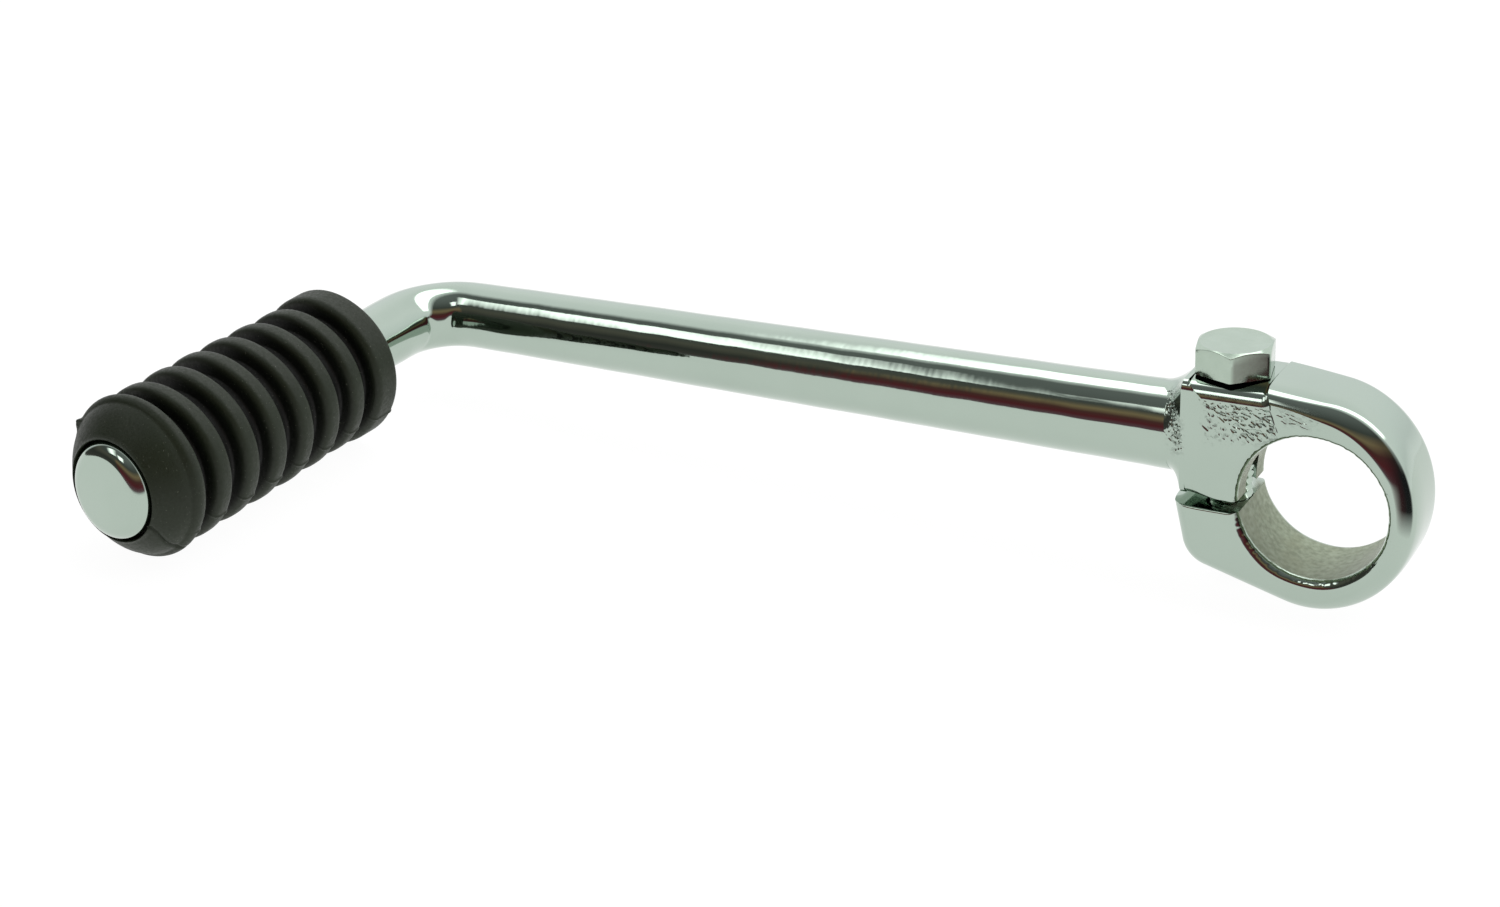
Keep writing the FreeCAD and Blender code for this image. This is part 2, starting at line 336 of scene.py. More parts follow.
def arm_radius(x):
    """The tapered rod's radius between the eye and the bend."""
    eye_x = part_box("weld_collar")[1][0] / MM
    share = (eye_x - x) / (eye_x - PEG_X - BEND_R)
    return ARM_R_AT_EYE + np.clip(share, 0, 1) * (ARM_R_AT_BEND - ARM_R_AT_EYE)


def bend_line():
    """Turn, x and y round the bend, whose curvature comes and goes smoothly at its ends."""
    arc, ease = BEND_R * math.pi / 2, BEND_EASE / 2
    s = np.linspace(-ease, arc + ease, 160)
    curvature = smooth(s, -ease, ease) * (1 - smooth(s, arc - ease, arc + ease)) / BEND_R
    step = s[1] - s[0]
    turn = np.concatenate([[0], np.cumsum((curvature[1:] + curvature[:-1]) * step / 2)])
    turn *= math.pi / 2 / turn[-1]
    middle = (turn[1:] + turn[:-1]) / 2
    x = -np.concatenate([[0], np.cumsum(np.cos(middle) * step)])
    y = -np.concatenate([[0], np.cumsum(np.sin(middle) * step)])
    return turn, x - x[-1] + PEG_X, y


def arm_line():
    """Stations along the rod: x, y, how far it has turned, and radius."""
    eye_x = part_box("weld_collar")[1][0] / MM
    turns, bend_x, bend_y = bend_line()
    stations = [(eye_x, 0, 0, WELD_PREP_R)]
    for x in np.linspace(eye_x - WELD_PREP_LENGTH, bend_x[0], 420):
        stations.append((x, 0, 0, float(arm_radius(x))))
    for turn, x, y in list(zip(turns, bend_x, bend_y))[1:]:
        stations.append((x, y, turn, float(arm_radius(x))))
    peg_start = -bend_y[-1]
    for s in np.linspace(peg_start, PEG_END, 140)[1:]:
        share = min(1.0, (s - peg_start) / PEG_BLEND)
        stations.append((PEG_X, -s, math.pi / 2, ARM_R_AT_BEND + share * (PEG_R - ARM_R_AT_BEND)))
    stations += [(PEG_X, -PEG_END, math.pi / 2, SPIGOT_R)]
    stations += [(PEG_X, -PEG_END - SPIGOT_LENGTH, math.pi / 2, SPIGOT_R)]
    return np.array(stations)


def polish_waves(s, a):
    """Faint waviness that hand polishing leaves, at a distance along the rod and an angle round it."""
    waves = 0.010 * np.sin(s / 3.1 + 2.0 * np.sin(a)) + 0.008 * np.sin(s / 1.9 + 3 * a)
    return waves + 0.012 * np.sin(s / 7.7 - a) + 0.004 * np.sin(s / 1.1 + 5 * a)


def scuffs(s, a):
    """Roughness of the rod where boots have rubbed it."""
    worn = sum(bump(s, place, width) for place, width in SCUFFED_STRETCHES)
    sites = np.stack([s / 0.35, 4 * np.cos(a), 4 * np.sin(a)], -1).reshape(-1, 3)
    return SCUFF_DEPTH * worn * grain(sites, 1.3, 5, 2).reshape(s.shape)


def tool_mark(turn, a):
    """Depth of the two crescents that the bending tool pressed into the inside of the bend."""
    tall = (np.mod(a, 2 * math.pi) - math.pi - CRESCENT_MIDDLE) / CRESCENT_REACH
    depth = sum(
        deep * bump(turn, place + curve * tall ** 2, CRESCENT_WIDTH)
        for deep, place, curve in CRESCENTS
    )
    return depth * np.exp(-tall ** 4) * (turn > 0)


def arm_rod():
    """The bent, hand-polished rod, with the bending tool's mark inside the bend."""
    x, y, turn, radius = arm_line().T
    along = np.concatenate([[0], np.cumsum(np.hypot(np.diff(x), np.diff(y)))])
    angle = np.linspace(0, 2 * math.pi, 128, endpoint=False)
    s, a = np.meshgrid(along, angle, indexing="ij")
    t = np.repeat(turn[:, None], len(angle), 1)
    peg_end = along[-3]
    bare = smooth(s, HIDDEN_IN_WELD, HIDDEN_IN_WELD + 3)
    bare = bare * (1 - smooth(s, peg_end - HIDDEN_IN_GRIP - 10, peg_end - HIDDEN_IN_GRIP))
    waves = polish_waves(s, a) + scuffs(s, a)
    r = np.repeat(radius[:, None], len(angle), 1) - bare * (waves + POLISH_LOSS) - tool_mark(t, a)
    outward = np.cos(a) * r
    rings = np.stack([
        x[:, None] - outward * np.sin(t),
        y[:, None] + outward * np.cos(t),
        ARM_Z + np.sin(a) * r,
    ], -1)
    piece = ring_piece("polished_arm", rings)
    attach(piece, "lever")
    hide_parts("arm_rod")
    piece.data.materials.append(chrome("arm_chrome"))
    return piece


# ---------------------------------------------------------------- weld collar

def block_reach(angle, half_width, top, bottom):
    """The distance from the arm's axis to the block's rounded rectangular section, at each angle."""
    across, up = np.abs(np.cos(angle)) + 1e-9, np.abs(np.sin(angle)) + 1e-9
    height = np.where(np.sin(angle) > 0, top, bottom)
    corner_x, corner_z = half_width - EDGE_ROUND, height - EDGE_ROUND
    side, cap = half_width / across, height / up
    middle = across * corner_x + up * corner_z
    far = middle ** 2 - corner_x ** 2 - corner_z ** 2 + EDGE_ROUND ** 2
    corner = middle + np.sqrt(np.maximum(far, 0))
    reach = np.where(side * up <= corner_z, side, corner)
    return np.where(cap * across <= corner_x, cap, reach)


def weld_roughness(x, across, up, toe_x):
    """How rough the weld is: a strip of spatter on the front, which the polishing wheel can't reach."""
    front = smooth(-across, 0.15, 0.6) * smooth(up, -0.35, 0.0)
    return bump(x, toe_x + 5.2 - 1.8 * smooth(up, 0.35, 0.85), 1.0) * front


def weld_collar():
    """The dressed weld: a concave flare from the round rod to the square block, rough at its toe."""
    low, high = (np.array(v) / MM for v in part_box("weld_collar"))
    toe_x, block_x, half_width = low[0], high[0], high[1]
    top, bottom = high[2] - ARM_Z, ARM_Z - low[2]
    x_rows = np.linspace(toe_x, block_x, 110)
    angle = np.linspace(0, 2 * math.pi, 360, endpoint=False)
    x, a = np.meshgrid(x_rows, angle, indexing="ij")
    across, up = np.cos(a), np.sin(a)
    start = toe_x + WELD_TOE + WELD_TOE_UNDER * smooth(-up, 0.0, 0.8)
    start = start + WELD_TOE_SIDE * smooth(-across, 0.0, 0.6)
    share = np.clip((x - start) / (block_x - WELD_LAND - start), 0, 1)
    r = arm_radius(x) - WELD_TOE_SINK
    r = r + (block_reach(a, half_width, top, bottom) - r) * share ** WELD_HOLLOW
    points = np.stack([x, across * r, ARM_Z + up * r], -1)
    speckle = grain(points.reshape(-1, 3), SPATTER_SIZE, 3, 2).reshape(x.shape)
    rough = weld_roughness(x, across, up, toe_x) * smooth(x, toe_x, toe_x + 0.5)
    r = r - SPATTER_DEPTH * smooth(speckle, 0.0, 0.30) * rough
    piece = ring_piece("weld_bead", np.stack([x, across * r, ARM_Z + up * r], -1))
    where = coordinates(piece)
    from_axis = np.hypot(where[:, 1], where[:, 2] - ARM_Z)
    side, height = where[:, 1] / from_axis, (where[:, 2] - ARM_Z) / from_axis
    paint(piece, "rough_patch", weld_roughness(where[:, 0], side, height, toe_x))
    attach(piece, "lever")
    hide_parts("weld_collar")
    piece.data.materials.append(chrome("weld_chrome", patch="rough_patch"))
    return piece


# ---------------------------------------------------------------- shaft eye

def polar(radius, angle_deg):
    """A point of the side view from its distance and angle."""
    angle = math.radians(angle_deg)
    return np.array([radius * math.cos(angle), radius * math.sin(angle)])


def jaw_outline(underside):
    """Runs from a point on the lower jaw's underside, round its corner and up its end to the slit."""
    under_deg, end_deg = -90 - JAW_SLOPE_DEG, -180 + JAW_LEAN_DEG
    under, end = polar(1, under_deg), polar(1, end_deg)
    top = np.array([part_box("clamp_head")[0][0] / MM, SLIT_BOTTOM_Z])
    reach = [under @ underside - JAW_CORNER_R, end @ top - JAW_CORNER_R]
    centre = np.linalg.solve(np.array([under, end]), reach)
    corner = [centre + polar(JAW_CORNER_R, turn) for turn in np.linspace(under_deg, end_deg, 30)]
    foot = corner[-1]
    near_top = top + (foot - top) * 0.15
    return [
        ([underside, corner[0]], WIDE_STEP),
        (corner, WIDE_STEP),
        ([foot, near_top], WIDE_STEP),
        ([near_top, top], SLIT_STEP),
    ]


def eye_outline():
    """The eye's outer side view, clockwise from the slit's upper face, and its count of weld points."""
    low, high = (np.array(v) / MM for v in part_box("clamp_head"))
    weld_low, weld_high = (np.array(v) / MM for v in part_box("weld_collar"))
    half_length, half_height, shoulder_z = high[0], -low[2], high[2]
    block_x, slit_top, spot_z = weld_high[0], weld_low[2], weld_high[2]
    across, up = SHOULDER_X / half_length, shoulder_z / half_height
    top_turn = math.atan2(across, up) + math.acos(1 / math.hypot(across, up))
    slope = math.tan(math.radians(JAW_SLOPE_DEG))
    low_turn = math.pi + math.atan(slope * half_length / half_height)
    turns = np.linspace(top_turn, low_turn, 260)
    oval = np.stack([half_length * np.sin(turns), half_height * np.cos(turns)], -1)
    edge_z = slit_top + 2 * SLIT_ROUND
    runs = [
        ([(block_x, slit_top), (block_x, edge_z)], SLIT_STEP),
        ([(block_x, edge_z), (block_x, spot_z)], WIDE_STEP),
        ([(block_x, spot_z), (SHOULDER_X - SHOULDER_FOOT, spot_z), (SHOULDER_X, shoulder_z)], SHOULDER_STEP),
        ([(SHOULDER_X, shoulder_z), oval[0]], TOP_STEP),
        (oval, WIDE_STEP),
    ] + jaw_outline(oval[-1])
    lines = [steps(corners, spacing) for corners, spacing in runs]
    weld_face_count = len(lines[0]) + len(lines[1]) - 1
    return np.concatenate([lines[0]] + [line[1:] for line in lines[1:]]), weld_face_count


def distance_to(points, line):
    """Each point's distance to a polyline."""
    start, end = line[:-1], line[1:]
    run = end - start
    length = (run * run).sum(-1)
    found = []
    for some in np.array_split(points, 1 + len(points) // 2000):
        share = ((some[:, None] - start) * run).sum(-1) / length
        nearest = start + np.clip(share, 0, 1)[..., None] * run
        found.append(np.linalg.norm(some[:, None] - nearest, axis=-1).min(1))
    return np.concatenate(found)


def edge_drop(distance, radius):
    """How far a rounded edge falls back at this distance from it."""
    inside = np.clip(radius - distance, 0, radius)
    return radius - np.sqrt(np.maximum(radius ** 2 - inside ** 2, 0))


def edge_radius(x):
    """The rounding of the eye's outer edge, which grows to the right."""
    return EDGE_ROUND + (RIGHT_EDGE_ROUND - EDGE_ROUND) * smooth(x, -6, 9)


def face_wear(x, z):
    """How the front face is worn: let in to the right of a step by the shoulder, and pitted to its left."""
    beyond = x - STEP_X - STEP_LEAN * (15 - z)
    recess = FACE_RECESS * smooth(beyond, 0, 0.3) * (1 - smooth(beyond, 1.5, 8)) * smooth(z, 9.5, 11.5)
    left = smooth(x, -16.0, -14.6) * smooth(z, np.minimum(5.5 + 0.25 * (x + 16), 8.5), 9.8)
    patch = left * (0.8 + 0.2 * smooth(x, -12, -7)) * (1 - smooth(beyond, -0.1, 0.2))
    right = smooth(beyond, 0.6, 1.2) * (1 - smooth(beyond, 3.5, 8)) * smooth(z, 11.0, 12.6)
    return recess, (patch + 0.45 * right) * (1 - smooth(z, 14.0, 14.8))


def pits(points, patch):
    """Depth of the crinkled casting pits at each point of the front face."""
    stretched = points.copy()
    stretched[:, 0] = 0.5 * (points[:, 0] - 0.4 * points[:, 2])
    stretched[:, 2] = 1.1 * (points[:, 2] + 0.4 * points[:, 0])
    depth = np.zeros(len(points))
    here = patch > 0.01
    crinkle = grain(stretched[here], PIT_SIZE, 11, 2)
    depth[here] = PIT_DEPTH * patch[here] * smooth(crinkle, -0.02, 0.30)
    return depth


def bore_burr(turn):
    """Unevenness of the bore's lip, as left by a hand tool: its broad part and its fine part."""
    broad = 0.5 * np.sin(5 * turn + 1) * np.sin(3 * turn)
    fine = 0.6 * np.sin(37 * turn) * np.sin(5 * turn + 2) + 0.4 * np.sin(83 * turn) * np.sin(9 * turn + 1)
    return broad, fine


class EyeRays:
    """Rays across the eye's side view, one a section, from the bore to the outline."""

    def __init__(self):
        self.outline, self.weld_face_count = eye_outline()
        self.half_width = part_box("clamp_head")[1][1] / MM
        self.bore_turn = self.turns_round_bore()
        self.inner = BORE_R * np.stack([np.cos(self.bore_turn), np.sin(self.bore_turn)], -1)
        self.span = np.linalg.norm(self.outline - self.inner, axis=1)
        self.ray = (self.outline - self.inner) / self.span[:, None]
        tangent = np.gradient(self.outline, axis=0)
        normal = np.stack([-tangent[:, 1], tangent[:, 0]], -1)
        normal /= np.linalg.norm(normal, axis=1)[:, None]
        self.normal = normal * np.sign((normal * self.ray).sum(1))[:, None]
        self.broad_burr, self.fine_burr = bore_burr(self.bore_turn)
        self.lip_round = BORE_ROUND * (1 + 0.2 * self.broad_burr)

    def turns_round_bore(self):
        """Angles on the bore that share it out as the outline's own angles do."""
        turn = np.unwrap(np.arctan2(self.outline[:, 1], self.outline[:, 0]))
        share = (turn - turn[0]) / (turn[-1] - turn[0])
        first = math.pi + math.asin(-self.outline[0, 1] / BORE_R)
        last = -math.pi + math.asin(-SLIT_BOTTOM_Z / BORE_R)
        return first + share * (last - first)

    def stations(self):
        """Distances along each ray, close together on the bore's lip and on the outer edge."""
        lip_turn = np.radians(np.linspace(0, 90, 9))[:-1]
        edge_turn = np.radians(np.linspace(90, 0, 22))[1:]
        flat_share = np.linspace(0, 1, 58)
        edge = edge_radius(self.outline[:, 0]) / np.clip((self.normal * self.ray).sum(1), 0.55, 1)
        lip = np.outer(self.lip_round, 1 - np.cos(lip_turn))
        flats = self.lip_round[:, None] * (1 - flat_share) + np.outer(self.span - edge, flat_share)
        edges = self.span[:, None] - np.outer(edge, 1 - np.cos(edge_turn))
        return np.concatenate([lip, flats, edges], 1)

    def crowned(self, flat, y, inset):
        """Points in space, with the outline drawn in towards the two faces."""
        crown = np.where(y < 0, FRONT_CROWN, BACK_CROWN)
        bow = crown * np.abs(y / self.half_width) ** 3 * np.exp(-(inset / CROWN_DEPTH) ** 2)
        moved = flat - self.normal[:, None] * bow[..., None]
        return np.stack([moved[..., 0], y, moved[..., 1]], -1)


def slit_drop(eye, flat):
    """How far the faces fall back at the slit's two edges, to the left of the bore."""
    rows, columns = flat.shape[:2]
    x, z = flat[..., 0], flat[..., 1]
    slit_x, slit_top = eye.outline[0]
    upper = np.repeat((np.arange(rows) < rows // 2)[:, None], columns, 1)
    above = np.where(z > -1.4, z - slit_top, FAR)
    distance = np.where(upper, above, SLIT_BOTTOM_Z - z)
    upper_round = SLIT_ROUND + SLIT_ROUND_EXTRA * (1 - smooth(x, slit_x, slit_x + 5))
    radius = np.where(upper, upper_round, SLIT_ROUND)
    return edge_drop(np.abs(distance), radius) * (x < 0)


def face_drop(eye, along, flat, inset):
    """How far both faces fall back at the outer edge, the slit and the bore's lip."""
    outer = edge_drop(inset, edge_radius(flat[..., 0]))
    lip = edge_drop(along, np.repeat(eye.lip_round[:, None], along.shape[1], 1))
    return np.maximum(np.maximum(outer, slit_drop(eye, flat)), lip)


def front_wear(eye, flat, inset):
    """Depth of the recess and the pits on the front face."""
    x, z = flat[..., 0], flat[..., 1]
    recess, patch = face_wear(x, z)
    front = np.stack([x, np.full(x.shape, -eye.half_width), z], -1).reshape(-1, 3)
    patch = patch * smooth(inset, 1.2, 2.2)
    return recess * smooth(inset, 0.0, 1.4) + pits(front, patch.ravel()).reshape(x.shape)


def eye_sections():
    """Rings of points: each goes round one slice of the eye, from the bore to the outline."""
    eye = EyeRays()
    rows = len(eye.outline)
    along = eye.stations()
    flat = eye.inner[:, None] + eye.ray[:, None] * along[..., None]
    exterior = eye.outline[eye.weld_face_count - 1:]
    inset = distance_to(flat.reshape(-1, 2), exterior).reshape(along.shape)
    drop = face_drop(eye, along, flat, inset)
    ragged = LIP_BURR * eye.fine_burr[:, None] * bump(along, 0.25, 0.2)
    front_y = np.maximum(drop, front_wear(eye, flat, inset)) + ragged - eye.half_width
    back_y = eye.half_width - drop
    at_weld = np.arange(rows) < eye.weld_face_count
    inset[at_weld] = FAR
    outer_y = front_y[:, -1:] + (back_y[:, -1:] - front_y[:, -1:]) * np.linspace(0, 1, 16)[None, 1:-1]
    outer_flat = np.repeat(eye.outline[:, None], outer_y.shape[1], 1)
    outer_inset = np.where(at_weld, FAR, 0.0)[:, None]
    bore_y = (eye.half_width - eye.lip_round)[:, None] * np.linspace(1, -1, 14)[None, 1:-1]
    bore_flat = np.repeat(eye.inner[:, None], bore_y.shape[1], 1)
    return np.concatenate([
        eye.crowned(flat, front_y, inset),
        eye.crowned(outer_flat, outer_y, outer_inset),
        eye.crowned(flat, back_y, inset)[:, ::-1],
        eye.crowned(bore_flat, bore_y, FAR),
    ], 1)


def drill(piece, radius, low_z, high_z):
    """Cuts a vertical hole for the bolt."""
    angle = np.linspace(0, 2 * math.pi, 64, endpoint=False)
    ring = np.stack([BOLT_X + radius * np.cos(angle), radius * np.sin(angle), 0 * angle], -1)
    cutter = ring_piece("cutter", [ring + (0, 0, low_z), ring + (0, 0, high_z)])
    cut = piece.modifiers.new("hole", "BOOLEAN")
    cut.operation = "DIFFERENCE"
    cut.solver = "EXACT"
    cut.object = cutter
    graph = bpy.context.evaluated_depsgraph_get()
    mesh = bpy.data.meshes.new_from_object(piece.evaluated_get(graph))
    piece.modifiers.clear()
    old = piece.data
    piece.data = mesh
    bpy.data.meshes.remove(old)
    bpy.data.objects.remove(cutter)


def paint_eye(piece):
    """Marks the unplated bore and the pitted patch for the material."""
    where = coordinates(piece)
    half_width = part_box("clamp_head")[1][1] / MM
    from_bore = np.hypot(where[:, 0], where[:, 2])
    lip = half_width - 0.75 * BORE_ROUND
    on_wall = 1 - smooth(from_bore, BORE_R + 0.03, BORE_R + 0.12)
    paint(piece, "raw_bore", on_wall * (1 - smooth(np.abs(where[:, 1]), lip - 0.2, lip)))
    _, patch = face_wear(where[:, 0], where[:, 2])
    depth = where[:, 1] + half_width
    paint(piece, "rough_patch", np.clip(patch, 0, 1) * (depth < 0.8) * (depth > 0.03))


def clamp_head():
    """The split eye with its two bored ears."""
    piece = ring_piece("shaft_eye", eye_sections())
    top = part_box("clamp_head")[1][2] / MM
    slit_middle = (SLIT_BOTTOM_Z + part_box("weld_collar")[0][2] / MM) / 2
    drill(piece, CLEARANCE_HOLE_R, slit_middle, top + 2)
    drill(piece, TAPPED_HOLE_R, -2 * top, slit_middle)
    shade(piece, 35)
    paint_eye(piece)
    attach(piece, "lever")
    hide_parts("clamp_head")
    piece.data.materials.append(chrome("eye_chrome", patch="rough_patch", raw="raw_bore"))
    return piece


# ---------------------------------------------------------------- end disc

def disc_profile():
    """The disc's half section as (distance outwards, radius), from its back to the middle of its face."""
    profile = [(0, SPIGOT_R)] + [(0, r) for r in np.linspace(SPIGOT_R + 0.5, DISC_R - 0.15, 6)]
    profile += [(0.05, DISC_R - 0.05), (0.15, DISC_R)]
    face_end = DISC_THICKNESS - DISC_CROWN
    rim_end = max(0.2, face_end - DISC_ROUND)
    profile.append((rim_end, DISC_R))
    for turn in np.linspace(0, math.pi / 2, 24)[1:]:
        depth = rim_end + (face_end - rim_end) * math.sin(turn)
        profile.append((depth, DISC_R - DISC_ROUND * (1 - math.cos(turn))))
    face_r = DISC_R - DISC_ROUND
    radii = np.linspace(face_r, 0.02, 24)[1:]
    return profile + [(DISC_THICKNESS - DISC_CROWN * (r / face_r) ** 2, r) for r in radii]


def peg_end_disc():
    """The polished disc with a rounded rim and a slightly crowned face, askew on its spigot."""
    rings = lathe(disc_profile(), np.linspace(0, 2 * math.pi, 160, endpoint=False))
    tilt = Matrix.Rotation(math.radians(DISC_PITCH_DEG), 3, "X")
    tilt = tilt @ Matrix.Rotation(math.radians(DISC_YAW_DEG), 3, "Z")
    rings = rings @ np.array(tilt).T + (PEG_X, -PEG_END, ARM_Z)
    piece = ring_piece("end_disc", rings)
    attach(piece, "lever")
    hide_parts("peg_end_disc")
    piece.data.materials.append(chrome("disc_chrome"))
    return piece


# ---------------------------------------------------------------- grip

def rounded_rib(low, high, radius, floor, soft):
    """Profile points of one rib between two grooves, with a full round crest."""
    middle, half = (low + high) / 2, (high - low) / 2
    points = []
    for turn in np.linspace(-math.pi / 2, math.pi / 2, 21):
        share = math.sin(turn)
        rise = (1 - abs(share) ** RIB_FULLNESS) ** (1 / RIB_FULLNESS)
        points.append((middle + half * share, floor + soft + (radius - floor - soft) * rise))
    return points


def far_collar():
    """Profile points of the collar next to the bend, from the grip's bore out to the first groove."""
    edge = COLLAR_EDGE_ROUND
    collar_end = GRIP_START + FAR_COLLAR_WIDTH
    quarter = np.linspace(0, math.pi / 2, 9)[1:]
    profile = [(GRIP_START + 0.3, GRIP_BORE_R), (GRIP_START, GRIP_BORE_R + 0.3)]
    profile += [(GRIP_START, r) for r in np.linspace(6, FAR_COLLAR_R - edge, 10)]
    for turn in quarter:
        radius = FAR_COLLAR_R - edge * (1 - math.sin(turn))
        profile.append((GRIP_START + edge * (1 - math.cos(turn)), radius))
    profile += [(s, FAR_COLLAR_R) for s in np.linspace(GRIP_START + edge, collar_end - edge, 6)[1:]]
    for turn in quarter:
        radius = FAR_COLLAR_R - edge * (1 - math.cos(turn))
        profile.append((collar_end - edge * (1 - math.sin(turn)), radius))
    profile += [(collar_end, r) for r in np.linspace(FAR_COLLAR_R - edge, GROOVE_R + 0.4, 5)[1:]]
    return profile + [(collar_end + 0.12, GROOVE_R + 0.12), (collar_end + 0.4, GROOVE_R)]


def near_collar():
    """Profile points of the outer collar and of the slightly bulging end, down to the rim of its mouth."""
    start = NEAR_COLLAR_START
    profile = [(start - 0.4, GROOVE_R), (start - 0.1, GROOVE_R + 0.1)]
    profile += [(start, r) for r in np.linspace(GROOVE_R + 0.4, NEAR_COLLAR_R - 1.2, 5)]
    for turn in np.linspace(0, math.pi, 24)[1:-3]:
        profile.append((start + 1.35 * (1 - math.cos(turn)), NEAR_COLLAR_R - 1.2 * (1 - math.sin(turn))))
    last_s, last_r = profile[-1]
    for share in np.linspace(0, 1, 16)[1:]:
        s = last_s + (GRIP_END - 0.35 - last_s) * share
        r = last_r + (GRIP_FACE_R + 0.35 - last_r) * share + END_BULGE * math.sin(math.pi * share)
        profile.append((s, r))
    profile += [(GRIP_END - 0.1, GRIP_FACE_R + 0.25), (GRIP_END, GRIP_FACE_R + 0.1)]
    return profile + [(GRIP_END - 0.1, GRIP_FACE_R)]


def grip_profile():
    """The grip's half section as (distance along the peg, radius), from the bore's far end round."""
    profile = far_collar()
    for i in range(RIB_COUNT):
        middle = RIB_FIRST + i * RIB_PITCH
        radius = RIB_R_FAR + (RIB_R_NEAR - RIB_R_FAR) * i / (RIB_COUNT - 1)
        low, high = middle - RIB_WIDTH / 2, middle + RIB_WIDTH / 2
        profile += [(low - 0.5, GROOVE_R), (low - 0.12, GROOVE_R + 0.12)]
        profile += rounded_rib(low, high, radius, GROOVE_R, 0.4)
        profile += [(high + 0.12, GROOVE_R + 0.12), (high + 0.5, GROOVE_R)]
    profile += near_collar()
    floor = PEG_END - DISC_GAP
    profile += [(s, GRIP_FACE_R) for s in np.linspace(GRIP_END - 0.5, floor, 6)]
    profile += [(floor, r) for r in np.linspace(GRIP_FACE_R - 0.3, GRIP_BORE_R, 5)]
    return profile + [(s, GRIP_BORE_R) for s in np.linspace(floor - 1, GRIP_START + 1, 24)]


def parting_line(turn, distance, radius):
    """Height of the mould's parting line: a thin ridge on the ribs, a crease on the outer end, two nibs."""
    across = np.abs(np.sin(turn)) * radius
    on_rib = smooth(radius, GROOVE_R + 0.6, RIB_R_FAR - 0.6)
    on_end = smooth(distance, NEAR_COLLAR_START + 0.8, NEAR_COLLAR_START + 2.2)
    ridge = RIDGE_HEIGHT * bump(across, 0, RIDGE_WIDTH) * on_rib * (1 - on_end)
    twisted = turn + CREASE_TWIST * smooth(radius, GRIP_FACE_R, NEAR_COLLAR_R - 0.3)
    crease_across = np.abs(np.sin(twisted)) * radius
    crease = -CREASE_DEPTH * bump(crease_across, 0, CREASE_WIDTH) * on_end * (np.cos(twisted) < 0)
    nibs = NIB_HEIGHT * bump(across, 0, NIB_WIDTH) * (np.cos(turn) > 0) * on_rib
    nibs = nibs * (bump(distance, RIB_FIRST - 0.4, 0.9) + bump(distance, NEAR_COLLAR_START + 2.6, 0.8))
    return ridge + crease + nibs


def grip_lean(rings, turn):
    """How far each point is pushed back: the askew outer end, and ribs that lean at their upper left."""
    radius = np.hypot(rings[..., 0], rings[..., 2])
    across, up = rings[..., 0] / radius, rings[..., 2] / radius
    outer = smooth(radius, GRIP_FACE_R - 0.5, NEAR_COLLAR_R - 1)
    end = smooth(-rings[..., 1], 64, 73)
    squashed = (0.62 - 0.90 * across + 0.55 * up) * end * (0.55 + 0.45 * outer)
    upper_left = np.maximum(np.cos(turn), 0) ** 2
    barrel = upper_left * (1 - end) * smooth(radius, GRIP_BORE_R + 0.5, GROOVE_R)
    return squashed + BARREL_LEAN * barrel


def paint_groove_shade(piece):
    """Marks the grooves between the ribs, where the material paints shade."""
    where = coordinates(piece) - (PEG_X, 0, ARM_Z)
    from_axis = np.hypot(where[:, 0], where[:, 2])
    depth = -where[:, 1]
    on_barrel = smooth(depth, GRIP_START + 1, GRIP_START + 2)
    on_barrel *= 1 - smooth(depth, NEAR_COLLAR_START + 0.5, NEAR_COLLAR_START + 1.5)
    # Painted shade: 1 deep between the ribs, fading to 0 towards the crests
    paint(piece, "groove", (1 - smooth(from_axis, GROOVE_R + 0.8, RIB_R_FAR - 0.1)) * on_barrel)


def grip_rubber():
    """The ribbed rubber grip, a little squashed askew at its outer end, with its mould's parting line."""
    even = np.linspace(0, 2 * math.pi, 320, endpoint=False)
    turn = even - PARTING_CROWD * np.sin(2 * even)
    angle = turn + math.radians(PARTING_DEG)
    rings = lathe(grip_profile(), angle)
    radius = np.hypot(rings[..., 0], rings[..., 2])
    distance = -rings[..., 1]
    back = grip_lean(rings, turn)
    swell = parting_line(turn, distance, radius)
    swell = swell + OUT_OF_ROUND * np.sin(2 * angle + distance / 5) - MOULD_SHRINK
    swell = 1 + swell * (radius > GRIP_FACE_R + 0.15) * (distance > GRIP_START - 1) / radius
    rings = np.stack([rings[..., 0] * swell, back - distance, rings[..., 2] * swell], -1)
    piece = ring_piece("ribbed_grip", rings + (PEG_X, 0, ARM_Z), 50, close_rows=True)
    paint_groove_shade(piece)
    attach(piece, "grip")
    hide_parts("grip_rubber")
    piece.data.materials.append(rubber())
    return piece


# ---------------------------------------------------------------- bolt

def hexagon_reach(angle):
    """The hexagon's radius at each angle, with slightly rounded corners."""
    total = 0
    for i in range(6):
        flat = math.radians(HEAD_TURN_DEG - 60 + 60 * i)
        total = total + np.maximum(np.cos(angle - flat), 0) ** HEAD_TIGHTNESS
    return HEAD_FLATS / 2 * total ** (-1 / HEAD_TIGHTNESS)


